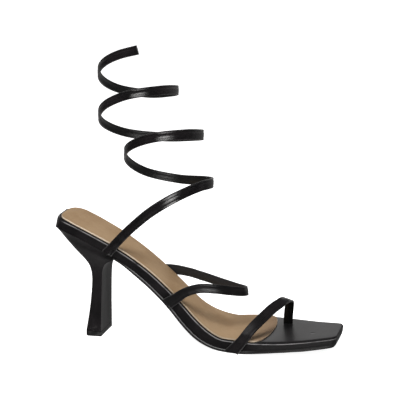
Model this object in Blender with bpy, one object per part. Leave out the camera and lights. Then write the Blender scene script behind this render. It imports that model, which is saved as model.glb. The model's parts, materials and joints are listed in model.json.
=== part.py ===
"""A right high heel sandal: a thin sole on a flared heel, a toe thong, an instep strap and an ankle spiral.

The shoe points along +X, its inner (medial) side is +Y and it stands on the plane z = 0.
Every table and size is in millimetres; MM turns them into Blender's metres.
The sole's pieces are layers of one last: each is a loft of sections that hang below the footbed's profile.
"""

import math

import bmesh
import bpy
import numpy as np

MM = 0.001

# Driving sizes of the last
LENGTH = 226.0
HEEL_END = 5.8
HEEL_ROUND = 24.0
HEEL_SQUARE = 4.0
TOE_ROUND = 5.0
TOE_LEAN = 0.3
TOE_LEAN_START = 214.0
TREAD_BACK = 141.0
TREAD_FRONT = 154.0

# Layers of the sole, as depths below the footbed; the board's own thickness is in the table of the profile
GAP = 0.3
SOCK_THICKNESS = 1.4
TREAD_BOARD = 7.0
OUTSOLE_THICKNESS = 1.7
BOARD_TOP = SOCK_THICKNESS + GAP
TREAD_HEIGHT = BOARD_TOP + TREAD_BOARD + GAP + OUTSOLE_THICKNESS

SOCK_INSET = 1.6
SOCK_FRONT = 174.5
SOCK_FRONT_ROUND = 8.0
OUTSOLE_RIM = 0.5
BOARD_EDGE = 1.2
SOCK_EDGE = 0.3
OUTSOLE_EDGE = 0.5
STATION_STEP = 6.0
STATION_CLEAR = (0.4, 0.1)
HEEL_ANGLES = range(4, 90, 11)
TOE_ANGLES = (0, 25, 50, 72)
SOCK_FRONT_ANGLES = (20, 40, 58, 72, 82)
SOCK_START_TRIM = 0.1
BOARD_END_TRIM = 0.05
SLOPE_STEP = 0.25
EASE_LIMIT = 0.4
EASE_BOW = 0.3

# Heel
BREAST = 58.0
HEEL_INSET = 0.6
HEEL_TIP_HEIGHT = 4.0
HEEL_POINTS = 25
HEEL_RINGS_PER_SPAN = 2

# Straps
STRAP_WIDTH = 7.2
STRAP_THICKNESS = 2.0
SPIRAL_WIDTH = 6.5
SPIRAL_THICKNESS = 1.9
STRAP_CHAMFER = 0.55
STRAP_STEP = 5.0
COIL_DEPTH = 33.0
COIL_TILT = 12.6
COIL_SKEW = 1.2
COIL_STEPS = 4
COIL_END = 0.51

# Height of the footbed above the floor and thickness of the board under it, along the shoe
LAST_PROFILE = (
    # x, height, board thickness
    (0.0, 96.8, 6.8),
    (15.0, 92.9, 6.8),
    (40.0, 81.6, 6.5),
    (60.0, 70.5, 6.5),
    (80.0, 56.9, 6.9),
    (100.0, 39.4, 7.4),
    (116.0, 23.4, 8.5),
    (124.0, 17.4, 8.7),
    (132.0, 13.2, 8.1),
    (TREAD_BACK, TREAD_HEIGHT, TREAD_BOARD),
    (TREAD_FRONT, TREAD_HEIGHT, TREAD_BOARD),
    (168.0, 10.7, 5.8),
    (180.0, 10.9, 5.1),
    (200.0, 11.8, 4.5),
    (LENGTH, 14.4, 4.2),
)

# Outline of the sole seen from above, ahead of the round of the heel
LAST_OUTLINE = (
    # x, half width, centre line
    (HEEL_END + HEEL_ROUND, HEEL_ROUND, 0.0),
    (45.0, 22.9, 0.0),
    (65.0, 20.7, -0.8),
    (90.0, 18.9, -2.2),
    (108.0, 19.4, -2.4),
    (120.0, 23.8, -1.8),
    (135.0, 32.0, -0.6),
    (150.0, 37.0, 0.2),
    (162.0, 38.5, 0.0),
    (175.0, 37.0, -0.7),
    (190.0, 33.5, -1.5),
    (205.0, 28.3, -2.2),
    (218.0, 23.8, -2.8),
    (LENGTH, 21.2, -3.2),
)

# Sections of the heel from its foot up to the neck and out to the seat; square is the power of the outline
HEEL_SECTIONS = (
    # front x, back x, front height, back height, half width, square
    (40.4, 27.6, HEEL_TIP_HEIGHT, HEEL_TIP_HEIGHT, 15.8, 9.0),
    (40.6, 30.6, 21.0, 21.0, 15.2, 9.0),
    (41.0, 32.0, 36.0, 36.0, 14.6, 8.0),
    (41.4, 32.5, 48.0, 48.0, 14.6, 8.0),
    (42.6, 29.9, 55.0, 57.5, 15.6, 7.0),
    (46.0, 20.9, 59.5, 67.0, 18.4, 5.5),
    (51.0, 9.9, 62.0, 79.0, 21.8, 4.5),
)

# The spiral's rise from the sole's side to the front of the ankle
SPIRAL_RISE = (
    # x, y, z, turn of the face, its tip upwards, width share
    (58.0, -25.2, 79.6, -95.0, 0.0, 1.08),
    (66.0, -27.2, 87.8, -92.0, 0.0, 1.1),
    (73.6, -29.0, 94.8, -88.0, 0.0, 1.12),
    (82.0, -31.0, 102.0, -84.0, 0.0, 1.15),
    (92.0, -32.4, 109.2, -76.0, 0.0, 1.18),
    (102.0, -30.4, 115.2, -62.0, 0.0, 1.2),
    (111.0, -25.0, 119.4, -46.0, 0.0, 1.2),
    (118.8, -15.5, 121.9, -28.0, 0.0, 1.2),
)

# Where each half turn of the coil reaches its furthest point, to the front and to the back in turn
COIL_REACH = (
    # x, z, width share
    (124.6, 121.9, 1.2),
    (58.0, 137.9, 1.0),
    (117.4, 159.0, 1.25),
    (38.3, 166.6, 1.0),
    (97.4, 192.6, 1.1),
    (37.8, 200.4, 1.0),
    (112.0, 226.0, 1.2),
)

# The instep strap between the two sides of the waist
INSTEP_LOOP = (
    # x, y, z, turn of the face, tip of the face
    (110.6, -23.8, 42.0, -92.0, 2.0),
    (120.0, -23.0, 44.9, -82.0, 4.0),
    (131.5, -19.6, 44.4, -68.0, 6.0),
    (142.0, -12.6, 41.9, -50.0, 8.0),
    (150.8, -5.0, 39.8, -24.0, 8.0),
    (152.3, 2.0, 38.9, 22.0, 8.0),
    (142.6, 8.4, 39.3, 58.0, 8.0),
    (128.0, 13.4, 41.6, 72.0, 6.0),
    (115.0, 16.4, 44.3, 80.0, 4.0),
    (102.5, 18.2, 46.8, 88.0, 2.0),
)

# The thong from the outer side of the ball over the toes and down between them
THONG_ARCH = (
    # x, y, z, turn of the face, tip of the face, share of the width
    (163.0, -33.0, 19.2, -73.7, 38.8, 1.1),
    (168.9, -24.0, 24.9, -61.5, 38.9, 1.12),
    (174.6, -14.0, 29.8, -49.5, 46.0, 1.12),
    (179.6, -4.0, 32.6, -31.2, 59.3, 1.1),
    (182.4, 5.5, 32.6, 24.8, 68.4, 1.05),
    (183.4, 12.5, 29.6, 75.3, 47.1, 1.0),
    (182.6, 16.6, 24.0, 90.0, 16.0, 1.0),
    (181.9, 17.6, 17.0, 90.0, 4.0, 1.0),
)
THONG_FOOT = (181.6, 17.8)
THONG_FOOT_TURN = 90.0

# Where each strap climbs the side of the sole: station of its lower end, station at the top edge
THONG_WALL = (149.6, 155.4)
INSTEP_OUTER_WALL = (101.6, 102.6)
INSTEP_INNER_WALL = (84.0, 89.0)
SPIRAL_WALL = (51.8, 52.9)
STRAP_CLEARANCE = 0.2
FOOT_FLARE = 1.3
EDGE_FLARE = 1.15

# Colour and roughness of each material
FINISHES = {
    "black_leather": ((0.016, 0.015, 0.017), 0.42),
    "heel_cover": ((0.016, 0.015, 0.017), 0.36),
    "black_rubber": ((0.022, 0.021, 0.022), 0.6),
    "tan_sock": ((0.56, 0.39, 0.27), 0.62),
}
SHARP_ANGLE = 35


def smooth(table, x, column):
    """Value of a table's column at x, on a curve that never passes beyond its rows."""
    rows = np.array(table)
    knots = rows[:, 0]
    values = rows[:, column]
    steps = np.diff(knots)
    slopes = np.diff(values) / steps
    tangents = np.empty(len(knots))
    tangents[0] = slopes[0]
    tangents[-1] = slopes[-1]
    for k in range(1, len(knots) - 1):
        before, after = slopes[k - 1], slopes[k]
        same_way = before * after > 0
        tangents[k] = 2 * before * after / (before + after) if same_way else 0.0
    k = int(np.clip(np.searchsorted(knots, x) - 1, 0, len(steps) - 1))
    t = (x - knots[k]) / steps[k]
    rise = values[k] * (2 * t**3 - 3 * t**2 + 1) + values[k + 1] * (3 * t**2 - 2 * t**3)
    lean = tangents[k] * (t**3 - 2 * t**2 + t) + tangents[k + 1] * (t**3 - t**2)
    return float(rise + lean * steps[k])


def profile_axes(x):
    """Unit vectors along the footbed and out of it at a station."""
    low, high = max(x - SLOPE_STEP, 0.0), min(x + SLOPE_STEP, LENGTH)
    slope = (smooth(LAST_PROFILE, high, 1) - smooth(LAST_PROFILE, low, 1)) / (high - low)
    along = np.array([1.0, 0.0, slope]) / math.hypot(1.0, slope)
    return along, np.array([-along[2], 0.0, along[0]])


def last_point(x, y, depth):
    """A point at a station, across the shoe by y and below the footbed by depth."""
    along, out = profile_axes(x)
    undercut = TOE_LEAN * max(x - TOE_LEAN_START, 0.0) / (LENGTH - TOE_LEAN_START)
    start = np.array([x, y, smooth(LAST_PROFILE, x, 1)])
    return start - depth * (out + undercut * along)


def board_bottom(x):
    """Depth of the board's underside below the footbed."""
    return BOARD_TOP + smooth(LAST_PROFILE, x, 2)


def half_width(x, inset):
    """Half the width of the outline drawn in by inset, rounded at the heel's and at the toe's corners."""
    heel_centre = HEEL_END + HEEL_ROUND
    if x < heel_centre:
        reach = HEEL_ROUND - inset
        back = (heel_centre - x) / reach
        return reach * max(1 - back**HEEL_SQUARE, 0.0) ** (1 / HEEL_SQUARE)
    half = smooth(LAST_OUTLINE, x, 1) - inset
    corner = TOE_ROUND - inset
    beyond = x - (LENGTH - TOE_ROUND)
    if beyond > 0:
        half -= corner - math.sqrt(max(corner**2 - beyond**2, 0.0))
    return half


def side_edges(x, inset):
    """The outer and the inner edge of the outline at a station."""
    centre = smooth(LAST_OUTLINE, max(x, HEEL_END + HEEL_ROUND), 2)
    half = half_width(x, inset)
    return centre - half, centre + half


def heel_station(angle):
    """A place along the round of the heel, by the angle from the heel's end."""
    return HEEL_END + HEEL_ROUND * (1 - math.cos(math.radians(angle)))


def stations(start, end):
    """Places along the shoe for sections: close together at the heel's round and the toe's corners."""
    heel = [heel_station(angle) for angle in HEEL_ANGLES]
    middle = np.arange(HEEL_END + HEEL_ROUND, LENGTH - TOE_ROUND, STATION_STEP)
    toe = [LENGTH - TOE_ROUND * (1 - math.sin(math.radians(angle))) for angle in TOE_ANGLES]
    low, high = start + STATION_CLEAR[0], end - STATION_CLEAR[1]
    inside = [x for x in (*heel, *middle, *toe, TREAD_BACK, TREAD_FRONT) if low < x < high]
    return sorted({round(float(x), 4) for x in (start, end, *inside)})


def layer_section(x, outer, inner, top, bottom, edge):
    """A ring of points around a layer at a station, with its corners eased."""
    ease = min(edge, EASE_LIMIT * (inner - outer), EASE_LIMIT * (bottom - top))
    bow = EASE_BOW * ease
    corners = (
        (outer + ease, top),
        (inner - ease, top),
        (inner - bow, top + bow),
        (inner, top + ease),
        (inner, bottom - ease),
        (inner - ease, bottom),
        (outer + ease, bottom),
        (outer, bottom - ease),
        (outer, top + ease),
        (outer + bow, top + bow),
    )
    return [last_point(x, y, depth) for y, depth in corners]


def make_material(name):
    """A Principled material with the colour and roughness of its row."""
    colour, roughness = FINISHES[name]
    finish = bpy.data.materials.new(name)
    finish.use_nodes = True
    shader = finish.node_tree.nodes["Principled BSDF"]
    shader.inputs["Base Color"].default_value = (*colour, 1.0)
    shader.inputs["Roughness"].default_value = roughness
    shader.inputs["Metallic"].default_value = 0.0
    return finish


def make_object(name, mesh_builder, finish, parent, collection):
    """A named piece from a finished skin, shaded smooth between its sharp edges."""
    mesh = bpy.data.meshes.new(name)
    bmesh.ops.recalc_face_normals(mesh_builder, faces=mesh_builder.faces)
    mesh_builder.to_mesh(mesh)
    mesh_builder.free()
    mesh.shade_smooth()
    mesh.set_sharp_from_angle(angle=math.radians(SHARP_ANGLE))
    mesh.materials.append(finish)
    piece = bpy.data.objects.new(name, mesh)
    piece.parent = parent
    collection.objects.link(piece)
    return piece


def loft(rings, ladder_caps=False):
    """A closed skin through rings of equal count. Ladder caps join a ring's two halves rung by rung."""
    shape = bmesh.new()
    skins = [[shape.verts.new([c * MM for c in point]) for point in ring] for ring in rings]
    count = len(skins[0])
    for lower, upper in zip(skins, skins[1:]):
        for i in range(count):
            j = (i + 1) % count
            shape.faces.new((lower[i], lower[j], upper[j], upper[i]))
    for ring in (skins[0], skins[-1]):
        if not ladder_caps:
            shape.faces.new(ring)
            continue
        for i in range(count // 2):
            rung = (ring[i], ring[i + 1], ring[count - 2 - i], ring[count - 1 - i])
            shape.faces.new(tuple(dict.fromkeys(rung)))
    return shape


def curve_through(points, step):
    """Points about a step apart on a smooth curve through the given rows, whatever their columns."""
    rows = np.array(points, float)
    spans = np.linalg.norm(np.diff(rows[:, :3], axis=0), axis=1)
    slopes = np.diff(rows, axis=0) / spans[:, None]
    tangents = np.empty_like(rows)
    tangents[0], tangents[-1] = slopes[0], slopes[-1]
    for k in range(1, len(rows) - 1):
        before, after = spans[k - 1], spans[k]
        tangents[k] = (slopes[k - 1] * after + slopes[k] * before) / (before + after)
    found = []
    for k, span in enumerate(spans):
        pieces = max(1, round(span / step))
        for t in np.arange(pieces) / pieces:
            start = rows[k] * (2 * t**3 - 3 * t**2 + 1) + tangents[k] * span * (t**3 - 2 * t**2 + t)
            finish = rows[k + 1] * (3 * t**2 - 2 * t**3) + tangents[k + 1] * span * (t**3 - t**2)
            found.append(start + finish)
    found.append(rows[-1])
    return np.array(found)


def face_direction(turn, tip):
    """The way a strap's face looks: turn in plan from the toe towards the inner side, tip upwards."""
    turn, tip = math.radians(turn), math.radians(tip)
    return np.array([math.cos(turn) * math.cos(tip), math.sin(turn) * math.cos(tip), math.sin(tip)])


def row_with_face(x, y, z, turn, tip=0.0, width_share=1.0):
    """A row of a strap: its middle, the way its face looks and its width as a share of the whole."""
    return np.concatenate([[x, y, z], face_direction(turn, tip), [width_share]])


def row_on_wall(x, side, depth, thickness, flare):
    """A strap's middle against the sole's side: side is -1 for the outer wall and 1 for the inner one."""
    along, _ = profile_axes(x)
    reach = FOOT_FLARE * STRAP_WIDTH / 2
    before, here, after = [side_edges(at, 0.0)[(side + 1) // 2] for at in (x - reach, x, x + reach)]
    lean = (after - before) / (2 * reach) * along[0]
    out = np.array([0.0, side, 0.0]) - side * lean * along
    out /= np.linalg.norm(out)
    hollow = max(side * ((before + after) / 2 - here), 0.0)
    middle = last_point(x, here, depth) + out * (hollow + GAP + thickness / 2)
    return np.concatenate([middle, out, [flare]])


def wall_rows(stations_on_wall, side, thickness):
    """A strap's climb up the side of the sole, from the outsole to the top edge, wider at its foot."""
    foot, edge = stations_on_wall
    low, high = board_bottom(foot) - STRAP_CLEARANCE, BOARD_TOP
    climb = (
        (foot, low, FOOT_FLARE),
        ((foot + edge) / 2, (low + high) / 2, (FOOT_FLARE + EDGE_FLARE) / 2),
        (edge, high, EDGE_FLARE),
    )
    return [row_on_wall(x, side, depth, thickness, flare) for x, depth, flare in climb]


def ribbon(rows, width, thickness, cuts):
    """A flat strap with eased edges along rows of a place and the way the face looks there.

    The cuts give, by ring, the line its end is trimmed along instead of square across."""
    path = curve_through(rows, STRAP_STEP)
    places, faces, widths = path[:, :3], path[:, 3:6], path[:, 6]
    tangents = np.gradient(places, axis=0)
    half_w, half_t = width / 2, thickness / 2
    edge_w, edge_t = half_w - STRAP_CHAMFER, half_t - STRAP_CHAMFER
    corners = (
        (half_w, edge_t),
        (edge_w, half_t),
        (-edge_w, half_t),
        (-half_w, edge_t),
        (-half_w, -edge_t),
        (-edge_w, -half_t),
        (edge_w, -half_t),
        (half_w, -edge_t),
    )
    rings = []
    for i, (place, face, tangent, share) in enumerate(zip(places, faces, tangents, widths)):
        tangent = tangent / np.linalg.norm(tangent)
        face = face - tangent * (face @ tangent)
        face /= np.linalg.norm(face)
        across = np.cross(tangent, face)
        cut = cuts.get(i - len(places) if i > len(places) // 2 else i)
        if cut is not None:
            across = cut / (cut @ across)
        rings.append([place + across * w * share + face * t for w, t in corners])
    return loft(rings)


def board_shape():
    """The wrapped footbed board, the body of the sole from heel to toe."""
    rings = []
    for x in stations(heel_station(HEEL_ANGLES[0]), LENGTH - BOARD_END_TRIM):
        outer, inner = side_edges(x, 0.0)
        rings.append(layer_section(x, outer, inner, BOARD_TOP, board_bottom(x), BOARD_EDGE))
    return loft(rings)


def sock_shape():
    """The tan sock glued on the board: it ends in a round front under the toes."""
    start = HEEL_END + SOCK_INSET + SOCK_START_TRIM
    bend = SOCK_FRONT - SOCK_FRONT_ROUND
    front = [bend + SOCK_FRONT_ROUND * math.sin(math.radians(angle)) for angle in SOCK_FRONT_ANGLES]
    rings = []
    for x in (*stations(start, bend), *front):
        outer, inner = side_edges(x, SOCK_INSET)
        round_off = max(x - bend, 0.0) / SOCK_FRONT_ROUND
        narrowing = (1 - round_off**2) ** 0.5
        centre, half = (outer + inner) / 2, (inner - outer) / 2 * narrowing
        rings.append(layer_section(x, centre - half, centre + half, 0.0, SOCK_THICKNESS, SOCK_EDGE))
    return loft(rings)


def outsole_shape():
    """The thin outsole from the heel's breast to the toe, flat on the floor under the ball."""
    rings = []
    for x in stations(BREAST + 2 * GAP, LENGTH):
        outer, inner = side_edges(x, -OUTSOLE_RIM)
        top = board_bottom(x) + GAP
        rings.append(layer_section(x, outer, inner, top, top + OUTSOLE_THICKNESS, OUTSOLE_EDGE))
    return loft(rings)


def heel_section(front, back, front_height, back_height, half, square):
    """A ring with a straight breast and a rounded back, tilted from its back height to its front height."""
    ring = []
    for angle in np.linspace(0.0, math.pi, HEEL_POINTS):
        sine, cosine = math.sin(angle), math.cos(angle)
        reach = max(sine, 0.0) ** (2 / square)
        across = math.copysign(abs(cosine) ** (2 / square), cosine)
        height = front_height + (back_height - front_height) * reach
        ring.append(np.array([front - (front - back) * reach, half * across, height]))
    return ring


def heel_seat():
    """The heel's top ring, just under the board and inside its edge."""
    ring = []
    middle = HEEL_POINTS // 2
    for i, angle in enumerate(np.linspace(0.0, math.pi, HEEL_POINTS)):
        x = BREAST - (BREAST - HEEL_END - HEEL_INSET) * math.sin(angle)
        outer, inner = side_edges(x, HEEL_INSET)
        y = inner if i < middle else outer
        ring.append(last_point(x, y if i != middle else 0.0, board_bottom(x) + GAP))
    return ring


def heel_shape():
    """The covered heel: a thin wide stem that flares out to the seat."""
    keys = [heel_section(*row) for row in HEEL_SECTIONS]
    keys.append(heel_seat())
    columns = []
    for i in range(HEEL_POINTS):
        line = np.array([ring[i] for ring in keys])
        columns.append(eased_line(line, HEEL_RINGS_PER_SPAN))
    rings = [[column[k] for column in columns] for k in range(len(columns[0]))]
    return loft(rings, ladder_caps=True)


def eased_line(line, pieces):
    """Extra points between the rows of a line, on a smooth curve through them."""
    tangents = np.gradient(line, axis=0)
    found = []
    for k in range(len(line) - 1):
        for t in np.arange(pieces) / pieces:
            start = line[k] * (2 * t**3 - 3 * t**2 + 1) + tangents[k] * (t**3 - 2 * t**2 + t)
            finish = line[k + 1] * (3 * t**2 - 2 * t**3) + tangents[k + 1] * (t**3 - t**2)
            found.append(start + finish)
    found.append(line[-1])
    return found


def heel_tip_shape():
    """The rubber tip that the heel stands on."""
    front, back, _, _, half, square = HEEL_SECTIONS[0]
    top = HEEL_TIP_HEIGHT - GAP
    rings = [heel_section(front, back, height, height, half, square) for height in (0.0, top)]
    return loft(rings, ladder_caps=True)


def thong_shape():
    """The toe thong: up the outer side of the ball, over the toes and down between the first two."""
    rows = wall_rows(THONG_WALL, -1, STRAP_THICKNESS)
    rows += [row_with_face(*row) for row in THONG_ARCH]
    foot = last_point(*THONG_FOOT, BOARD_TOP - GAP)
    rows.append(row_with_face(*foot, THONG_FOOT_TURN))
    cuts = {0: profile_axes(THONG_WALL[0])[0], -1: profile_axes(THONG_FOOT[0])[0]}
    return ribbon(rows, STRAP_WIDTH, STRAP_THICKNESS, cuts)


def instep_shape():
    """The instep strap: a slack loop that leans forward from the waist."""
    rows = wall_rows(INSTEP_OUTER_WALL, -1, STRAP_THICKNESS)
    rows += [row_with_face(*row) for row in INSTEP_LOOP]
    rows += reversed(wall_rows(INSTEP_INNER_WALL, 1, STRAP_THICKNESS))
    cuts = {0: profile_axes(INSTEP_OUTER_WALL[0])[0], -1: profile_axes(INSTEP_INNER_WALL[0])[0]}
    return ribbon(rows, STRAP_WIDTH, STRAP_THICKNESS, cuts)


def coil_rows():
    """The turns around the ankle, tilted up on the outer side, worked out half a turn at a time."""
    rows = []
    last_span = len(COIL_REACH) - 2
    for k, (start, finish) in enumerate(zip(COIL_REACH, COIL_REACH[1:])):
        side, skew = (1, COIL_SKEW) if k % 2 == 0 else (-1, 1.0)
        share = COIL_END if k == last_span else 1.0
        for t in np.arange(COIL_STEPS + (k == last_span)) / COIL_STEPS * share:
            angle = math.pi * t
            sweep = (1 - math.cos(angle)) / 2
            x = start[0] + (finish[0] - start[0]) * sweep
            y = side * COIL_DEPTH * math.sin(angle)
            z = start[1] + (finish[1] - start[1]) * t - side * COIL_TILT * math.sin(math.pi * t**skew)
            turn = math.degrees(angle) + (0.0 if side > 0 else 180.0)
            width_share = start[2] + (finish[2] - start[2]) * sweep
            rows.append(row_with_face(x, y, z, turn, 0.0, width_share))
    return rows


def spiral_shape():
    """The ankle strap: up from the outer side of the heel and nearly three times round."""
    rows = wall_rows(SPIRAL_WALL, -1, SPIRAL_THICKNESS)
    rows += [row_with_face(*row) for row in SPIRAL_RISE]
    rows += coil_rows()
    cuts = {0: profile_axes(SPIRAL_WALL[0])[0]}
    return ribbon(rows, SPIRAL_WIDTH, SPIRAL_THICKNESS, cuts)


def stand_on_origin(root, pieces):
    """Moves the whole shoe so that the middle of its box stands over the origin."""
    points = np.array([v.co for piece in pieces for v in piece.data.vertices])
    middle = (points.min(axis=0) + points.max(axis=0)) / 2
    root.location = (-middle[0], -middle[1], -points[:, 2].min())


def main():
    for old in list(bpy.data.objects):
        bpy.data.objects.remove(old)
    collection = bpy.data.collections.new("high_heel_sandal")
    bpy.context.scene.collection.children.link(collection)
    root = bpy.data.objects.new("sandal_root", None)
    collection.objects.link(root)

    leather, cover, rubber, tan = (make_material(name) for name in FINISHES)

    pieces = [
        make_object("board", board_shape(), leather, root, collection),
        make_object("sock", sock_shape(), tan, root, collection),
        make_object("outsole", outsole_shape(), rubber, root, collection),
        make_object("heel", heel_shape(), cover, root, collection),
        make_object("heel_tip", heel_tip_shape(), rubber, root, collection),
        make_object("thong_strap", thong_shape(), leather, root, collection),
        make_object("instep_strap", instep_shape(), leather, root, collection),
        make_object("spiral_strap", spiral_shape(), leather, root, collection),
    ]
    stand_on_origin(root, pieces)


main()
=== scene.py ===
# %% [markdown]
# # A high heel sandal with a spiral ankle strap
# The sandal was first drawn as plain solids: a board, a sock, an outsole, a heel with its tip, and three
# straps. This lesson dresses those solids. Each one is hidden behind a finer piece that stays in the same
# place. Lengths in the tables are millimetres, and MM turns them into Blender's metres.

# %% Load the plain solids
import json
import math

import bmesh
import bpy
import numpy as np
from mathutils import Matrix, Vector

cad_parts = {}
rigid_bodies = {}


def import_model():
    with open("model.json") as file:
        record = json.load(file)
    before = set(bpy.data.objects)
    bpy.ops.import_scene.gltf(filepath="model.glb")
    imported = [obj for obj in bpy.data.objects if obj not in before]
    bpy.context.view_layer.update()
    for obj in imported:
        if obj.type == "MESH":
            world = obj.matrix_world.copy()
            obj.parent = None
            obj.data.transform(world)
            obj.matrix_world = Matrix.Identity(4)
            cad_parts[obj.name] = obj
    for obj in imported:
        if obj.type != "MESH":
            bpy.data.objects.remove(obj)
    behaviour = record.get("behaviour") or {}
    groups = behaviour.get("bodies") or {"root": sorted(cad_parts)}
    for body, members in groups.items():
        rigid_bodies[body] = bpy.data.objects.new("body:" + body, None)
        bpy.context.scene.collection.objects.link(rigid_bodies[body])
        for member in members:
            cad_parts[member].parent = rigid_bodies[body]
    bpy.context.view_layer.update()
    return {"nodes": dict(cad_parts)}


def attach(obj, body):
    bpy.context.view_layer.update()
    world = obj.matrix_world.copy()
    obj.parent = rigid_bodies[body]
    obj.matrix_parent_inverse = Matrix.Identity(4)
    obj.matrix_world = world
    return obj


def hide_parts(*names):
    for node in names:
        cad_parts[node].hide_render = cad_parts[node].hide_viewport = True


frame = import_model()
MM = 0.001
BODY = "root"
print("solids:", sorted(frame["nodes"]))

# %% [markdown]
# ## The camera
# The photograph looks at the outer side of the shoe, a little from the front and from above, with a long
# lens. A long lens keeps the near and the far side of the shoe almost the same size. The eye stands back
# from a target along two angles, and a Track-To constraint could aim it. Here the turn is worked out from
# the line of sight, which needs no constraint.

# %% Camera
TARGET = Vector((0.845, 0.74, 108.5)) * MM
EYE_AZIMUTH = math.radians(12.8)
EYE_ELEVATION = math.radians(11.8)
EYE_DISTANCE = 1300 * MM
LENS = 153.5
NEAR_LIMIT = 50 * MM


def seen_from(azimuth, elevation, distance):
    """A point around the target: azimuth 0 looks at the shoe's outer side, and grows towards the toe."""
    level = math.cos(elevation)
    back = Vector((math.sin(azimuth) * level, -math.cos(azimuth) * level, math.sin(elevation)))
    return TARGET + back * distance


def aim(thing, place):
    """Puts a camera or light at a place and turns it to the target."""
    thing.location = place
    thing.rotation_euler = (TARGET - place).to_track_quat("-Z", "Y").to_euler()


bpy.ops.object.camera_add()
camera = bpy.context.object
camera.data.lens = LENS
camera.data.clip_start = NEAR_LIMIT
aim(camera, seen_from(EYE_AZIMUTH, EYE_ELEVATION, EYE_DISTANCE))
bpy.context.scene.camera = camera
bpy.context.scene.view_settings.view_transform = "Standard"
print("camera", [round(c, 3) for c in camera.location])

# %% [markdown]
# ## A way to write finishes
# A finish is a tree of nodes. Long trees are hard to read as links, so a small class wraps one socket.
# Sums on wrapped sockets add Math nodes, and one method adds any other node with its settings and inputs.

# %% The wire class
MIX_SHARE, MIX_FIRST, MIX_SECOND, MIX_RESULT = 0, 6, 7, 2  # the colour sockets of a Mix node


class Wire:
    """A socket of a finish, or the start of one. Sums on wires add Math nodes."""

    def __init__(self, tree, socket=None):
        self.tree = tree
        self.socket = socket

    def node(self, kind, settings=None, inputs=None, output=0):
        """Adds a node: its settings first, then the values or wires of its inputs."""
        new = self.tree.nodes.new(kind)
        for name, value in (settings or {}).items():
            setattr(new, name, value)
        for key, value in (inputs or {}).items():
            if isinstance(value, Wire):
                self.tree.links.new(value.socket, new.inputs[key])
            else:
                new.inputs[key].default_value = value
        return Wire(self.tree, new.outputs[output])

    def maths(self, operation, *values):
        return self.node("ShaderNodeMath", {"operation": operation}, dict(enumerate(values)))

    def __add__(self, other):
        return self.maths("ADD", self, other)

    def __sub__(self, other):
        return self.maths("SUBTRACT", self, other)

    def __rsub__(self, other):
        return self.maths("SUBTRACT", other, self)

    def __mul__(self, other):
        return self.maths("MULTIPLY", self, other)

    def __abs__(self):
        return self.maths("ABSOLUTE", self)

    __radd__ = __add__
    __rmul__ = __mul__

    def step(self, low, high):
        """A soft step from 0 at low to 1 at high."""
        settings = {"interpolation_type": "SMOOTHSTEP"}
        return self.node("ShaderNodeMapRange", settings, {"Value": self, "From Min": low, "From Max": high})

    def blend(self, first, second):
        """A colour between two, by this wire as the share of the second."""
        inputs = {MIX_SHARE: self, MIX_FIRST: first, MIX_SECOND: second}
        return self.node("ShaderNodeMix", {"data_type": "RGBA"}, inputs, output=MIX_RESULT)

    def axis(self, name):
        """The X, Y or Z of a vector."""
        return self.node("ShaderNodeSeparateXYZ", None, {0: self}, output=name)


# %% Finish helpers
def new_finish(name):
    """A material with one Principled shader, and the start wire of its tree."""
    finish = bpy.data.materials.new(name)
    finish.use_nodes = True
    shader = finish.node_tree.nodes["Principled BSDF"]
    return finish, shader, Wire(finish.node_tree)


def plug(shader, **inputs):
    """Sets or links a shader's inputs; a name's underscores stand for spaces."""
    for name, value in inputs.items():
        target = shader.inputs[name.replace("_", " ")]
        if isinstance(value, Wire):
            value.tree.links.new(value.socket, target)
        else:
            target.default_value = value


# %% [markdown]
# ## Black leather
# Smooth calf leather has fine pores, a slight unevenness in its gloss, and a warm, almost purple black.
# The pores are a Voronoi pattern under a millimetre across, and a softer noise gives the hide's slow
# waves. Both feed mostly a Bump node and the roughness, because the leather is smooth to the eye from a
# step away.

# %% Patterns
NOISE_DETAIL = 3.0
NOISE_ROUGHNESS = 0.5
NOISE_MIDDLE = 0.5


def colour(red, green, blue):
    return (red, green, blue, 1.0)


def object_place(start):
    """Where a point is on its own piece."""
    return start.node("ShaderNodeTexCoord", output="Object")


def noise(start, place, scale):
    inputs = {"Vector": place, "Scale": scale, "Detail": NOISE_DETAIL, "Roughness": NOISE_ROUGHNESS}
    return start.node("ShaderNodeTexNoise", None, inputs)


def sway(pattern, amount):
    """A noise made to push a value up and down by about an amount."""
    return (pattern - NOISE_MIDDLE) * amount


def pores(start, place, scale):
    return start.node("ShaderNodeTexVoronoi", None, {"Vector": place, "Scale": scale, "Randomness": 1.0})


def bump(start, height, strength, distance, below=None):
    """A relief, laid over another one where there is one below."""
    inputs = {"Height": height, "Strength": strength, "Distance": distance}
    if below is not None:
        inputs["Normal"] = below
    return start.node("ShaderNodeBump", None, inputs)


# %% Leather black
BLACK_DEEP = colour(0.0038, 0.0035, 0.0038)
BLACK_WARM = colour(0.0085, 0.0070, 0.0078)
PORE_SCALE = 1700
HIDE_SCALE = 60
HIDE_RANGE = (0.30, 0.72)


def leather_black(hide):
    """The black of the leather, warmer in patches of the hide."""
    return hide.step(*HIDE_RANGE).blend(BLACK_DEEP, BLACK_WARM)


# %% [markdown]
# ## Selecting by place
# An operator acts on all that is selected, and the solids come in selected. So each step first selects
# nothing, and then picks vertices, edges or faces in code, by where they are or which way they look.

# %% Selecting
def rest():
    """Leaves edit mode with nothing selected."""
    if bpy.context.object and bpy.context.object.mode != "OBJECT":
        bpy.ops.object.mode_set(mode="OBJECT")
    bpy.ops.object.select_all(action="DESELECT")


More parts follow.
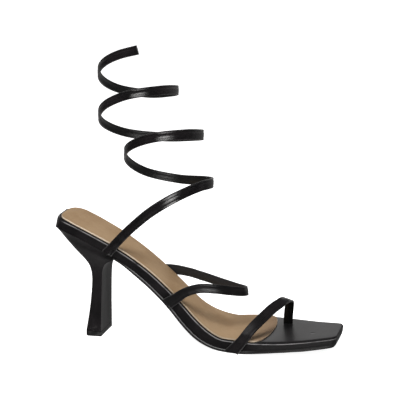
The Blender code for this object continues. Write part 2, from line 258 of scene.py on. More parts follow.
def select_where(mesh, mode, test):
    """Selects the vertices, edges or faces of the mesh in edit mode that pass a test."""
    shape = bmesh.from_edit_mesh(mesh)
    bpy.context.tool_settings.mesh_select_mode = [mode == kind for kind in ("VERT", "EDGE", "FACE")]
    for part in (*shape.verts, *shape.edges, *shape.faces):
        part.select = False
    for part in {"VERT": shape.verts, "EDGE": shape.edges, "FACE": shape.faces}[mode]:
        if test(part):
            part.select_set(True)
    shape.select_flush_mode()
    bmesh.update_edit_mesh(mesh)


# %% [markdown]
# ## Light and floor
# The sandal was shot in a white studio. The main soft box stands high in front of the shoe, and it is
# large enough for the straps to throw only soft shadows on the sock. A weak one fills in from the toe.
# Black leather is a dark mirror, so what surrounds it matters as much as the boxes. The sky is dark where
# the upright walls look, at the front near the horizon, and paler behind, above and steeply below, as a
# white sweep would be. Two soft cards in the sky are what shows in the leather instead of the hard boxes:
# a low one in front makes the short highlights where a strap turns its face to the eye, and a wide faint
# one above gives the rims their light line. The floor is left out of the mirror, so that the low card
# still shows in it.

# %% Soft boxes
BOXES = (
    # name, azimuth, elevation, distance, side, power
    ("key_box", -4, 52, 1.3, 0.65, 19.0),
    ("toe_box", 80, 40, 1.4, 0.5, 2.0),
)
for name, azimuth, elevation, distance, side, power in BOXES:
    bpy.ops.object.light_add(type="AREA")
    box = bpy.context.object
    box.name = name
    box.data.shape = "SQUARE"
    box.data.size = side
    box.data.energy = power
    box.visible_glossy = False
    aim(box, seen_from(math.radians(azimuth), math.radians(elevation), distance))
print("soft boxes:", len(BOXES))

# %% Sky
DARK_FRONT = 0.018
PALE_GROUND_BEHIND, PALE_GROUND_BELOW = 0.24, 0.28
PALE_ABOVE, PALE_SWEEP = 0.12, 0.80
BEHIND_RANGE = (0.0, 0.9)
BELOW_RANGE = (-0.85, -0.35)
SWEEP_RANGE = (0.18, 0.38)
HORIZON_RANGE = (-0.10, 0.14)
SKY_WHITE = colour(1.0, 0.99, 0.98)

world = bpy.data.worlds.new("studio_sky")
bpy.context.scene.world = world
world.use_nodes = True
sky = Wire(world.node_tree)
gaze = sky.node("ShaderNodeTexCoord", output="Generated")
gaze_height = gaze.axis("Z")
gaze_behind = gaze.axis("Y").step(*BEHIND_RANGE)
gaze_below = 1 - gaze_height.step(*BELOW_RANGE)
ground_glow = DARK_FRONT + gaze_behind * PALE_GROUND_BEHIND + gaze_below * PALE_GROUND_BELOW
upper_glow = PALE_ABOVE + gaze_behind * (1 - gaze_height.step(*SWEEP_RANGE)) * PALE_SWEEP
glow = ground_glow + gaze_height.step(*HORIZON_RANGE) * (upper_glow - ground_glow)

# %% Cards in the sky
CARDS = (
    # azimuth, elevation, half width, half height, glow
    (24, -16, 0.32, 0.13, 14.0),
    (-8, 56, 0.50, 0.40, 1.0),
)
CARD_CORE = 0.4
FRONT_SIDE = (0.0, 0.2)


def gaze_along(way):
    """How far the gaze goes along a direction."""
    inputs = {0: gaze, 1: way[:]}
    return sky.node("ShaderNodeVectorMath", {"operation": "DOT_PRODUCT"}, inputs, output="Value")


for azimuth, elevation, half_width, half_height, power in CARDS:
    azimuth, elevation = math.radians(azimuth), math.radians(elevation)
    ahead = (seen_from(azimuth, elevation, 1.0) - TARGET).normalized()
    sideways = Vector((math.cos(azimuth), math.sin(azimuth), 0.0))
    in_width = 1 - abs(gaze_along(sideways)).step(CARD_CORE * half_width, half_width)
    in_height = 1 - abs(gaze_along(ahead.cross(sideways))).step(CARD_CORE * half_height, half_height)
    glow = glow + gaze_along(ahead).step(*FRONT_SIDE) * in_width * in_height * power
plug(world.node_tree.nodes["Background"], Color=SKY_WHITE, Strength=glow)
print("cards in the sky:", len(CARDS))

# %% Floor
FLOOR_SIDE = 24
FLOOR_SQUARES = 8
FLOOR_DROP = 0.2
FLOOR_SCALE, FLOOR_RANGE = 3.0, (0.3, 0.7)
FLOOR_GREY = colour(0.86, 0.86, 0.86)
FLOOR_WHITE = colour(0.90, 0.90, 0.90)
rest()
bpy.ops.mesh.primitive_grid_add(
    x_subdivisions=FLOOR_SQUARES,
    y_subdivisions=FLOOR_SQUARES,
    size=FLOOR_SIDE,
    location=(0, 0, -FLOOR_DROP * MM),
)
floor = bpy.context.object
floor.name = "studio_floor"
floor.visible_glossy = False
floor_finish, floor_shader, floor_start = new_finish("pale_floor")
floor_tone = noise(floor_start, object_place(floor_start), FLOOR_SCALE)
plug(
    floor_shader,
    Base_Color=floor_tone.step(*FLOOR_RANGE).blend(FLOOR_GREY, FLOOR_WHITE),
    Roughness=0.9,
    Specular_IOR_Level=0.1,
    Emission_Color=colour(1.0, 1.0, 1.0),
    Emission_Strength=0.95,
)
floor.data.materials.append(floor_finish)
print("floor", FLOOR_SIDE, "m wide,", FLOOR_DROP, "mm below the sole")

# %% [markdown]
# ## Cutting a strap
# A strap is a long strip of leather with its edges folded in. Each edge is a rounded rim, and a shallow
# groove runs beside it where the fold is pressed down. By hand one would model the strip flat and then
# bend it. So the cut end is a plane with bevelled corners and subdivided sides, and Extrude Repeat draws
# it out straight. The straight strip remembers how far along and how far across each point is, which the
# leather uses later.

# %% Straight strip
RIM_ROUND = 0.36
RIM_SEGMENTS = 3
FACE_CUTS = 7
GROOVE_DEPTH = 0.16
CROWN = 0.10
NEAR_FACE = 0.49


def straight_strip(name, width, thickness, rings):
    """A straight strap: x runs across it, y out of its face, and each millimetre of z is one ring."""
    rest()
    bpy.ops.mesh.primitive_plane_add(size=1)
    strip = bpy.context.object
    strip.name = name
    mesh = strip.data
    bpy.ops.object.mode_set(mode="EDIT")
    bpy.ops.transform.resize(value=(width, thickness, 1))
    bpy.ops.mesh.bevel(affect="VERTICES", offset=RIM_ROUND * thickness, segments=RIM_SEGMENTS)
    select_where(mesh, "EDGE", lambda edge: edge.calc_length() > width / 2)
    bpy.ops.mesh.subdivide(number_cuts=FACE_CUTS)
    gap = (width - 2 * RIM_ROUND * thickness) / (FACE_CUTS + 1)
    groove = gap * (FACE_CUTS - 1) / 2

    def on_face(vertex, side, low, high):
        return vertex.co.y * side > NEAR_FACE * thickness and low < abs(vertex.co.x) < high

    for side in (1, -1):
        select_where(mesh, "VERT", lambda vertex: on_face(vertex, side, groove - gap / 2, groove + gap / 2))
        bpy.ops.transform.translate(value=(0, -side * GROOVE_DEPTH, 0))
        select_where(mesh, "VERT", lambda vertex: on_face(vertex, side, -1, groove - gap * 1.5))
        bpy.ops.transform.translate(value=(0, side * CROWN, 0))
    bpy.ops.mesh.select_all(action="SELECT")
    bpy.ops.mesh.extrude_repeat(steps=rings - 1, offset=(0, 0, 1))
    bpy.ops.mesh.select_all(action="SELECT")
    bpy.ops.mesh.normals_make_consistent(inside=False)
    bpy.ops.object.mode_set(mode="OBJECT")
    return strip


# %% [markdown]
# ## Laying a strap along its route
# The route is a short table: where the strap's middle is, which way its face looks, and how wide it is
# there. A smooth curve through the rows gives a frame for every ring of the straight strip, and each ring
# moves to its frame. A Curve modifier would do nearly the same, but it can't take the twist of the face
# from a table. Where a strap ends on the sole, its last ring is cut along the sole's wall.

# %% Smooth routes
DRAWING_SHIFT = np.array([-114.755, 0.74, 0.0])
RING_STEP = 1.0


def face_direction(turn, tip):
    """The way a strap's face looks: turn in plan from the toe to the inner side, tip upwards."""
    turn, tip = math.radians(turn), math.radians(tip)
    return [math.cos(turn) * math.cos(tip), math.sin(turn) * math.cos(tip), math.sin(tip)]


def curve_through(rows, step):
    """Rows about a step apart on a smooth curve through the given rows."""
    rows = np.array(rows, float)
    spans = np.linalg.norm(np.diff(rows[:, :3], axis=0), axis=1)
    slopes = np.diff(rows, axis=0) / spans[:, None]
    tangents = np.empty_like(rows)
    tangents[0], tangents[-1] = slopes[0], slopes[-1]
    for k in range(1, len(rows) - 1):
        before, after = spans[k - 1], spans[k]
        tangents[k] = (slopes[k - 1] * after + slopes[k] * before) / (before + after)
    found = []
    for k, span in enumerate(spans):
        pieces = max(1, round(span / step))
        for t in np.arange(pieces) / pieces:
            start = rows[k] * (2 * t**3 - 3 * t**2 + 1) + tangents[k] * span * (t**3 - 2 * t**2 + t)
            finish = rows[k + 1] * (3 * t**2 - 2 * t**3) + tangents[k + 1] * span * (t**3 - t**2)
            found.append(start + finish)
    found.append(rows[-1])
    return np.array(found)


# %% Frames and creases
def route_frames(table, cuts):
    """Place, across and face directions of every ring, and the length up to it."""
    rows = [[x, y, z, *face_direction(turn, tip), share] for x, y, z, turn, tip, share in table]
    path = curve_through(rows, RING_STEP)
    places = path[:, :3]
    tangents = np.gradient(places, axis=0)
    tangents /= np.linalg.norm(tangents, axis=1)[:, None]
    faces = path[:, 3:6]
    faces = faces - tangents * np.sum(faces * tangents, axis=1)[:, None]
    faces /= np.linalg.norm(faces, axis=1)[:, None]
    across = np.cross(tangents, faces)
    for ring, cut in zip((0, -1), cuts):
        if cut is not None:
            across[ring] = np.array(cut) / (np.array(cut) @ across[ring])
    steps = np.linalg.norm(np.diff(places, axis=0), axis=1)
    lengths = np.concatenate([[0.0], np.cumsum(steps)])
    return places + DRAWING_SHIFT, across * path[:, 6:7], faces, lengths


def crease(creases, along, aside):
    """How far the creases push each point out of the face: ridges, or troughs where the depth is negative."""
    push = np.zeros(len(along))
    for place, spread, depth, slant in creases:
        push += depth * np.exp(-(((along - place - slant * aside) / spread) ** 2))
    return push


# %% Laying
STRAP_SMOOTH = math.radians(50)


def lay_strap(name, table, size, creases, cuts):
    """Cuts a straight strip, creases it and moves each of its rings to the route."""
    width, thickness = size
    places, across, faces, lengths = route_frames(table, cuts)
    strip = straight_strip(name, width, thickness, len(places))
    mesh = strip.data
    flat = np.empty(len(mesh.vertices) * 3)
    mesh.vertices.foreach_get("co", flat)
    flat = flat.reshape(-1, 3)
    ring = np.rint(flat[:, 2]).astype(int)
    out = flat[:, 1] + crease(creases, lengths[ring], flat[:, 0])
    laid = places[ring] + across[ring] * flat[:, :1] + faces[ring] * out[:, None]
    mesh.vertices.foreach_set("co", (laid * MM).ravel())
    painted = {"along": lengths[ring] * MM, "across": flat[:, 0] / width * 2, "out": flat[:, 1]}
    for label, values in painted.items():
        layer = mesh.attributes.new(label, "FLOAT", "POINT")
        layer.data.foreach_set("value", values.astype(np.float32))
    mesh.update()
    bpy.ops.object.mode_set(mode="EDIT")
    bpy.ops.mesh.select_all(action="SELECT")
    bpy.ops.mesh.normals_make_consistent(inside=False)
    bpy.ops.object.mode_set(mode="OBJECT")
    bpy.ops.object.shade_smooth_by_angle(angle=STRAP_SMOOTH)
    print(name, "rings", len(places), "length mm", round(lengths[-1]))
    return strip


# %% [markdown]
# ## The three straps
# The thong climbs the outer side of the ball, arches over the toes with its face a little to the front,
# as the foot slopes there, and goes down between the first two. The instep strap is a slack loop between
# the two sides of the waist. The ankle strap rises from the outer side of the heel and stands in a coil
# of nearly three turns.

# %% Routes of the thong and the instep strap
THONG = (
    # x, y, z, turn, tip, width share
    (149.34, -38.0, 2.2, -101.6, 0, 1.3),
    (152.27, -38.54, 5.6, -100.3, 0, 1.225),
    (155.2, -39.07, 9.0, -98.9, 0, 1.15),
    (163.0, -33.0, 19.2, -73.7, 38.8, 1.1),
    (168.9, -24.0, 24.9, -61.5, 38.9, 1.12),
    (174.6, -14.0, 29.8, -49.5, 46, 1.12),
    (179.6, -4.0, 32.6, -31.2, 59.3, 1.1),
    (182.4, 5.5, 32.6, 24.8, 68.4, 1.05),
    (183.4, 12.5, 29.6, 75.3, 47.1, 1),
    (182.6, 16.6, 24.0, 90, 16, 1),
    (181.9, 17.6, 17.0, 90, 4, 1),
    (181.64, 17.8, 9.54, 90, 0, 1),
)
INSTEP = (
    # x, y, z, turn, tip, width share
    (95.28, -22.8, 31.49, -91.3, 1.3, 1.3),
    (98.31, -22.82, 33.62, -91.3, 1.3, 1.225),
    (101.36, -22.85, 35.7, -91.3, 1.3, 1.15),
    (110.6, -23.8, 42.0, -92, 2, 1),
    (120.0, -23.0, 44.9, -82, 4, 1),
    (131.5, -19.6, 44.4, -68, 6, 1),
    (142.0, -12.6, 41.9, -50, 8, 1),
    (150.8, -5.0, 39.8, -24, 8, 1),
    (152.3, 2.0, 38.9, 22, 8, 1),
    (142.6, 8.4, 39.3, 58, 8, 1),
    (128.0, 13.4, 41.6, 72, 6, 1),
    (115.0, 16.4, 44.3, 80, 4, 1),
    (102.5, 18.2, 46.8, 88, 2, 1),
    (87.91, 18.15, 48.15, 88.6, -1.2, 1.15),
    (83.25, 18.3, 47.7, 87.7, -2, 1.225),
    (78.69, 18.5, 47.1, 86.6, -2.8, 1.3),
)
print("route rows: thong", len(THONG), "instep", len(INSTEP))

# %% Route of the ankle strap
SPIRAL_RISE = (
    # x, y, z, turn, tip, width share
    (47.94, -23.59, 68.32, -86.6, -1.9, 1.3),
    (50.03, -23.55, 70.75, -86.6, -1.9, 1.225),
    (52.13, -23.51, 73.18, -86.7, -1.9, 1.15),
    (58.0, -25.2, 79.6, -95, 0, 1.08),
    (66.0, -27.2, 87.8, -92, 0, 1.1),
    (73.6, -29.0, 94.8, -88, 0, 1.12),
    (82.0, -31.0, 102.0, -84, 0, 1.15),
    (92.0, -32.4, 109.2, -76, 0, 1.18),
    (102.0, -30.4, 115.2, -62, 0, 1.2),
    (111.0, -25.0, 119.4, -46, 0, 1.2),
    (118.8, -15.5, 121.9, -28, 0, 1.2),
)
COIL_REACH = (
    # x, z, width share
    (124.6, 121.9, 1.2),
    (58.0, 137.9, 1.0),
    (117.4, 159.0, 1.25),
    (38.3, 166.6, 1.0),
    (97.4, 192.6, 1.1),
    (37.8, 200.4, 1.0),
    (112.0, 226.0, 1.2),
)
COIL_DEPTH = 33.0
COIL_TILT = 12.6
COIL_SKEW = 1.2
COIL_STEPS = 4
COIL_END = 0.51


def coil_rows():
    """The turns around the ankle, tilted up on the outer side, half a turn at a time."""
    rows = []
    last_span = len(COIL_REACH) - 2
    for k, (start, finish) in enumerate(zip(COIL_REACH, COIL_REACH[1:])):
        side, skew = (1, COIL_SKEW) if k % 2 == 0 else (-1, 1.0)
        share = COIL_END if k == last_span else 1.0
        for t in np.arange(COIL_STEPS + (k == last_span)) / COIL_STEPS * share:
            angle = math.pi * t
            sweep = (1 - math.cos(angle)) / 2
            x = start[0] + (finish[0] - start[0]) * sweep
            y = side * COIL_DEPTH * math.sin(angle)
            z = start[1] + (finish[1] - start[1]) * t - side * COIL_TILT * math.sin(math.pi * t**skew)
            turn = math.degrees(angle) + (0.0 if side > 0 else 180.0)
            rows.append((x, y, z, turn, 0.0, start[2] + (finish[2] - start[2]) * sweep))
    return rows


SPIRAL = (*SPIRAL_RISE, *coil_rows())
print("route rows: spiral", len(SPIRAL))

# %% [markdown]
# ## Creases
# Leather keeps a crease where it is bent hard: near a strap's foot, where it leaves the footbed, and
# where the strap turns. With Proportional Editing one would push a row of vertices in or out. Here a
# short table places each crease along its strap: how far up it lies, how wide it spreads, how deep it is
# and how much it slants.

# %% Crease tables
THONG_CREASES = (
    # along, spread, depth, slant
    (13.0, 2.4, -0.30, 0.4),
    (17.5, 2.6, 0.22, 0.4),
    (57.0, 2.6, -0.32, -0.3),
    (62.0, 2.4, 0.24, -0.3),
)
INSTEP_CREASES = (
    # along, spread, depth, slant
    (13.5, 2.4, -0.32, 0.5),
    (18.0, 2.8, 0.24, 0.5),
    (61.0, 2.8, -0.34, 0.3),
    (66.5, 2.6, 0.24, 0.3),
    (76.0, 2.8, -0.30, -0.3),
    (118.0, 3.0, -0.30, -0.4),
)
SPIRAL_CREASES = (
    # along, spread, depth, slant
    (16.0, 2.6, -0.30, 0.5),
    (21.0, 2.8, 0.22, 0.5),
    (90.0, 3.2, -0.26, 0.3),
    (101.0, 3.0, -0.28, -0.3),
    (236.0, 3.4, -0.24, 0.3),
    (372.0, 3.4, -0.24, -0.3),
)
print("creases:", len(THONG_CREASES) + len(INSTEP_CREASES) + len(SPIRAL_CREASES))

# %% Lay the straps
FOOT_STRAP = (7.2, 1.8)  # width, thickness
ANKLE_STRAP = (6.5, 1.7)
THONG_CUTS = ((1, 0, 0), (1, 0, 0.028))
INSTEP_CUTS = ((0.713, 0, -0.701), (0.772, 0, -0.636))
SPIRAL_CUTS = ((0.871, 0, -0.492), None)
thong = lay_strap("thong_leather", THONG, FOOT_STRAP, THONG_CREASES, THONG_CUTS)
instep = lay_strap("instep_leather", INSTEP, FOOT_STRAP, INSTEP_CREASES, INSTEP_CUTS)
spiral = lay_strap("spiral_leather", SPIRAL, ANKLE_STRAP, SPIRAL_CREASES, SPIRAL_CUTS)

# %% [markdown]
# ## Strap leather
# The straps take the smooth black leather. Along each rim the fold rubs, so the rim is a little glossier,
# and it is painted lighter in patches, partly as rubbing and partly as a painted highlight. The pressed
# groove beside it is painted darker as shade. Fine streaks run along the strip, as on leather that was
# pulled through a folding machine. At a strap's foot a painted highlight lies on the cut edges. The back
# of a strap is its lining: duller, and of a slightly different black on each strap, where the instep
# strap's lighter lining is partly a painted sheen. The strip's own values place all of these.

# %% Strap finish
STREAK_ALONG, STREAK_ACROSS, STREAK_SCALE = 40, 9, 1.6
STRAP_RIM = (0.72, 0.88)
GROOVE_BEGINS, GROOVE_ENDS = (0.50, 0.62), (0.64, 0.76)
RUB_SCALE = 190
RUB_PATCHES = (0.40, 0.70)
LINING_SIDE = (-0.6, -0.3)
FOOT_EDGE, FOOT_END = (0.84, 0.97), (0.008, 0.015)
# Rim colour: lighter by rubbing and by a painted highlight.
RIM_WEAR_AND_HIGHLIGHT_BLACK, RIM_WEAR_AND_HIGHLIGHT_SHARE = colour(0.030, 0.028, 0.029), 0.55
# Groove colour: painted shade.
GROOVE_SHADE_COLOUR, GROOVE_SHADE_SHARE = colour(0.003, 0.003, 0.003), 0.6
# Foot colour: a painted highlight on the cut edges.
FOOT_HIGHLIGHT_COLOUR, FOOT_HIGHLIGHT_SHARE = colour(0.06, 0.058, 0.058), 0.5
STREAK_SWAY, HIDE_SWAY, RUBBED_GLOSS, LINING_DULL = 0.22, 0.06, 0.05, 0.2
STRAP_PORES, STRAP_STREAKS, STRAP_WAVES = (0.12, 0.0002), (0.05, 0.0006), (0.02, 0.002)


def attribute(start, name):
    """A value that was painted on the piece while it was modelled."""
    return start.node("ShaderNodeAttribute", {"attribute_name": name}, output="Fac")


def strap_leather(name, roughness, lining_and_sheen):
    """The leather of a strap: how rough its face is, and the colour of its lining with any painted sheen."""
    finish, shader, start = new_finish(name)
    place = object_place(start)
    along = attribute(start, "along")
    across = attribute(start, "across")
    aside = abs(across)
    inside = 1 - attribute(start, "out").step(*LINING_SIDE)
    strip_place = {"X": along * STREAK_ALONG, "Y": across * STREAK_ACROSS, "Z": 0.0}
    streak = noise(start, start.node("ShaderNodeCombineXYZ", None, strip_place), STREAK_SCALE)
    hide = noise(start, place, HIDE_SCALE)
    # Painted highlight with rubbing: the rims are painted lighter in patches.
    rim_wear_and_highlight = aside.step(*STRAP_RIM) * noise(start, place, RUB_SCALE).step(*RUB_PATCHES)
    # Painted shade in the pressed groove beside each rim.
    groove = aside.step(*GROOVE_BEGINS) * (1 - aside.step(*GROOVE_ENDS))
    # Painted highlight on the cut edges at a strap's foot.
    foot_highlight = aside.step(*FOOT_EDGE) * (1 - along.step(*FOOT_END))
    black = (rim_wear_and_highlight * RIM_WEAR_AND_HIGHLIGHT_SHARE).blend(leather_black(hide), RIM_WEAR_AND_HIGHLIGHT_BLACK)
    black = (groove * GROOVE_SHADE_SHARE).blend(black, GROOVE_SHADE_COLOUR)
    black = (foot_highlight * FOOT_HIGHLIGHT_SHARE).blend(black, FOOT_HIGHLIGHT_COLOUR)
    relief = bump(start, pores(start, place, PORE_SCALE), *STRAP_PORES)
    relief = bump(start, streak, *STRAP_STREAKS, below=relief)
    uneven = sway(streak, STREAK_SWAY) + sway(hide, HIDE_SWAY)
    plug(
        shader,
        Base_Color=inside.blend(black, lining_and_sheen),
        Roughness=roughness + uneven - rim_wear_and_highlight * RUBBED_GLOSS + inside * LINING_DULL,
        Normal=bump(start, hide, *STRAP_WAVES, below=relief),
        Specular_IOR_Level=0.5,
    )
    return finish


thong_finish = strap_leather("thong_leather", roughness=0.30, lining_and_sheen=colour(0.003, 0.003, 0.003))
# The instep strap's lighter lining is partly a painted sheen.
instep_finish = strap_leather("instep_leather", roughness=0.38, lining_and_sheen=colour(0.017, 0.017, 0.018))
ankle_finish = strap_leather("ankle_leather", roughness=0.24, lining_and_sheen=colour(0.006, 0.006, 0.006))


# %% Dress the straps
def dress(piece, node, finish):
    """Gives a piece its finish and lets it stand for a solid."""
    piece.data.materials.clear()
    piece.data.materials.append(finish)
    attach(piece, BODY)
    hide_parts(node)
    print(piece.name, "stands for", node, "with", len(piece.data.polygons), "faces")


dress(thong, "thong_strap", thong_finish)
dress(instep, "instep_strap", instep_finish)
dress(spiral, "spiral_strap", ankle_finish)

# %% [markdown]
# ## The sole's pieces
# The board, the sock, the outsole and the heel are hard pieces with soft skins, and their solids have the
# right shape. Drawing them again would only risk a different one. A copy of each solid is welded, its
# triangles are joined to quads, and a Subdivision Surface rounds its facets. Before that, insets lay
# narrow bands of faces along the edges. They hold the edges in place, and they make the rim and the
# groove that run round the footbed. While a band is selected, a value is painted on its vertices, so the
# finish knows where the thin lines run.

# %% Copy a solid
WELD = 0.01
QUAD_LIMIT = math.radians(60)


def quads_of(node, name):
    """A copy of a solid as welded quads, left in edit mode."""
    rest()
    piece = bpy.data.objects.new(name, frame["nodes"][node].data.copy())
    bpy.context.scene.collection.objects.link(piece)
    bpy.context.view_layer.objects.active = piece
    piece.select_set(True)
    bpy.ops.object.mode_set(mode="EDIT")
    bpy.ops.mesh.select_all(action="SELECT")
    bpy.ops.mesh.remove_doubles(threshold=WELD * MM)
    bpy.ops.mesh.tris_convert_to_quads(face_threshold=QUAD_LIMIT, shape_threshold=QUAD_LIMIT)
    return piece


# %% Paint on vertices
LOOKS_UP = 0.45
WIDE_FACE = 6.0
END_WALL = 0.9


def lies_wide(face, way):
    """Whether a face lies across the shoe and looks up (way 1) or down (way -1)."""
    sides = [vertex.co.y for vertex in face.verts]
    return way * face.normal.z > LOOKS_UP and max(sides) - min(sides) > WIDE_FACE * MM


def paint(piece, label, value):
    """Writes a value on the vertices of the selected faces, which the finish reads later."""
    shape = bmesh.from_edit_mesh(piece.data)
    layer = shape.verts.layers.float.get(label) or shape.verts.layers.float.new(label)
    for face in shape.faces:
        if face.select:
            for vertex in face.verts:
                vertex[layer] = value
    bmesh.update_edit_mesh(piece.data)


def paint_rim(piece, label, values):
    """Paints the wide top with the last value, and each strip further out with the one before it."""
    for strips, value in zip(reversed(range(len(values))), values):
        select_where(piece.data, "FACE", lambda face: lies_wide(face, 1))
        for _ in range(strips):
            bpy.ops.mesh.select_more()
        shape = bmesh.from_edit_mesh(piece.data)
        for face in shape.faces:
            if abs(face.normal.x) > END_WALL:
                face.select = False
        bmesh.update_edit_mesh(piece.data)
        paint(piece, label, value)


# %% Bands along the edges
def inset_bands(piece, way, bands, label=None):
    """Insets the wide faces on top or below by bands of a width and a depth, with no paint inside them."""
    select_where(piece.data, "FACE", lambda face: lies_wide(face, way))
    for width, depth in bands:
        bpy.ops.mesh.inset(thickness=width * MM, depth=depth * MM, use_even_offset=True)
        if label:
            paint(piece, label, 0.0)


def hold_walls(piece, label, edge_value, width):
    """Insets the walls below a painted rim, so that they stay flat, and ends the paint there."""
    layer = bmesh.from_edit_mesh(piece.data).verts.layers.float[label]

    def on_wall(face):
        values = [vertex[layer] for vertex in face.verts]
        return min(values) == 0.0 and max(values) == edge_value

    select_where(piece.data, "FACE", on_wall)
    bpy.ops.mesh.inset(thickness=width * MM, depth=0.0, use_even_offset=True)
    paint(piece, label, 0.0)


# %% Corners and rounding
SMOOTH_ANGLE = math.radians(40)


def keep_corners(angle, strength=1.0):
    """Creases the edges that turn by more than an angle, so that they stay sharp when subdivided."""
    bpy.context.tool_settings.mesh_select_mode = (False, True, False)
    bpy.ops.mesh.select_all(action="DESELECT")
    bpy.ops.mesh.edges_select_sharp(sharpness=math.radians(angle))
    bpy.ops.transform.edge_crease(value=strength)


def round_off(piece, levels):
    """Subdivides a piece smoothly, applies it and shades it smooth."""
    bpy.ops.object.mode_set(mode="OBJECT")
    skin = piece.modifiers.new("round", "SUBSURF")
    skin.levels = levels
    skin.render_levels = levels
    bpy.ops.object.modifier_apply(modifier=skin.name)
    bpy.ops.object.shade_smooth_by_angle(angle=SMOOTH_ANGLE)


# %% [markdown]
# ## The wrapped board
# The board is covered in the same black leather, pulled tight. Its top edge is a rim with a groove inside
# it, and the sheet on the toe stands up again inside the groove. A painted highlight lies on the rim as a
# light line in rubbed patches, and it fades at the back of the heel and towards the toe. The toe's part is
# the glossiest, as a smooth sheet lies there without a sock. One small dent shows on it. Faces that look
# up are painted a lighter black, as a painted sheen. The wall reaches down a little, to close the joint to
# the heel.

# %% Board
RIM_HIGHLIGHT_MARKS = (0.25, 1.0, 0.0)
RIM_BANDS = (
    # width, depth
    (0.35, -0.10),
    (0.10, 0.0),
    (0.25, 1.05),
    (0.50, 0.08),
)
UNDERSIDE_BANDS = ((1.0, 0.0),)
WALL_REACH = 1.3
WALL_BAND = 0.5
WALL_LEAN = 0.3
BOARD_CORNER, BOARD_CREASE = 35, 0.75


def ends_wall(edge):
    """Whether an edge lies between an upright wall and a face that looks down."""
    lifts = sorted(face.normal.z for face in edge.link_faces)
    return lifts[0] < -WALL_LEAN and abs(lifts[-1]) < WALL_LEAN


board = quads_of("board", "board_wrap")
select_where(board.data, "EDGE", ends_wall)
bpy.ops.transform.translate(value=(0, 0, -WALL_REACH * MM))
keep_corners(BOARD_CORNER, BOARD_CREASE)
# Marks where the painted rim highlight goes.
paint_rim(board, "rim_wear_and_highlight", RIM_HIGHLIGHT_MARKS)
inset_bands(board, 1, RIM_BANDS, "rim_wear_and_highlight")
inset_bands(board, -1, UNDERSIDE_BANDS)
hold_walls(board, "rim_wear_and_highlight", RIM_HIGHLIGHT_MARKS[0], WALL_BAND)
round_off(board, levels=2)

# %% Board finish
RIM_HIGHLIGHT_START, RIM_HIGHLIGHT_END, RIM_HIGHLIGHT_LOSS = (-0.1045, -0.0985), (0.070, 0.105), 0.4
# The rim's light line is a painted highlight.
RIM_LINE, RIM_HIGHLIGHT_COLOUR = (0.45, 0.95), colour(0.20, 0.195, 0.196)
RIM_PATCH_SCALE, RIM_PATCHES = 150, (0.25, 0.50)
# A lighter black painted as sheen on faces that look up.
TOP_SHEEN_COLOUR, TOP_SHEEN_SHARE = colour(0.019, 0.018, 0.019), 0.7
FLAT_TOP = (0.75, 0.97)
TOE_WALL = (0.035, 0.075)
DENT, DENT_RANGE = (0.0905, -0.0081, 0.0113), (0.0004, 0.0026)
BOARD_PORES, DENT_BUMP = (0.06, 0.0002), (0.4, 0.0006)
BOARD_ROUGH, WALL_DULL, TOP_GLOSS = 0.34, 0.24, 0.22
board_finish, board_shader, board_start = new_finish("board_leather")
board_place = object_place(board_start)
board_x = board_place.axis("X")
board_hide = noise(board_start, board_place, HIDE_SCALE)
# Painted highlight: a light line along the rim, in rubbed patches, that fades at both ends.
rim_highlight_line = attribute(board_start, "rim_wear_and_highlight").step(*RIM_LINE) * (1 - board_x.step(*RIM_HIGHLIGHT_END) * RIM_HIGHLIGHT_LOSS)
rim_patches = noise(board_start, board_place, RIM_PATCH_SCALE).step(*RIM_PATCHES)
rim_highlight_line = rim_highlight_line * board_x.step(*RIM_HIGHLIGHT_START) * rim_patches
flat_top = board_start.node("ShaderNodeNewGeometry", output="Normal").axis("Z").step(*FLAT_TOP)
from_dent = {0: board_place, 1: DENT}
from_dent = board_start.node("ShaderNodeVectorMath", {"operation": "DISTANCE"}, from_dent, output="Value")
dent = 1 - from_dent.step(*DENT_RANGE)
board_relief = bump(board_start, pores(board_start, board_place, PORE_SCALE), *BOARD_PORES)
board_rough = BOARD_ROUGH + board_x.step(*TOE_WALL) * WALL_DULL - flat_top * TOP_GLOSS
# Painted sheen: faces that look up get a lighter black.
board_black = (flat_top * TOP_SHEEN_SHARE).blend(leather_black(board_hide), TOP_SHEEN_COLOUR)
plug(
    board_shader,
    Base_Color=rim_highlight_line.blend(board_black, RIM_HIGHLIGHT_COLOUR),
    Roughness=board_rough + sway(board_hide, HIDE_SWAY),
    Normal=bump(board_start, dent * -1, *DENT_BUMP, below=board_relief),
    Specular_IOR_Level=0.45,
)
dress(board, "board", board_finish)

# %% [markdown]
# ## The sock
# A thin tan lining is glued on the board. Its face is faintly mottled, and painted shade darkens it
# towards the front. Its cut edge is paler than its face, and a painted highlight on it shows most at the
# heel. Under that edge a line of painted shade parts it from the board.

# %% Sock
SOCK_CUT = (1.0, 1.0, 1.0)
# Every vertex first carries the mark of painted shade; the rim and the top are painted over it.
SOCK_SHADE_MARK = -1.0
SOCK_BACK = -95.0
BACK_RIM = 1.0
SOCK_BANDS = ((0.3, 0.0), (0.4, 0.0))
sock = quads_of("sock", "sock_lining")
select_where(sock.data, "VERT", lambda vertex: vertex.co.x < SOCK_BACK * MM)
bpy.ops.transform.translate(value=(BACK_RIM * MM, 0, 0))
bpy.ops.mesh.select_all(action="SELECT")
paint(sock, "cut_edge", SOCK_SHADE_MARK)
paint_rim(sock, "cut_edge", SOCK_CUT)
inset_bands(sock, 1, SOCK_BANDS, "cut_edge")
inset_bands(sock, -1, SOCK_BANDS[:1])
round_off(sock, levels=2)

# %% Sock finish
CLOUD_SCALE, FINE_SCALE, GRAIN_SCALE = 28, 420, 1300
CLOUD_SHARE, FINE_SHARE, TAN_RANGE = 0.8, 0.2, (0.35, 0.65)
TAN_LIGHT = colour(0.37, 0.255, 0.151)
TAN_DEEP = colour(0.30, 0.195, 0.108)
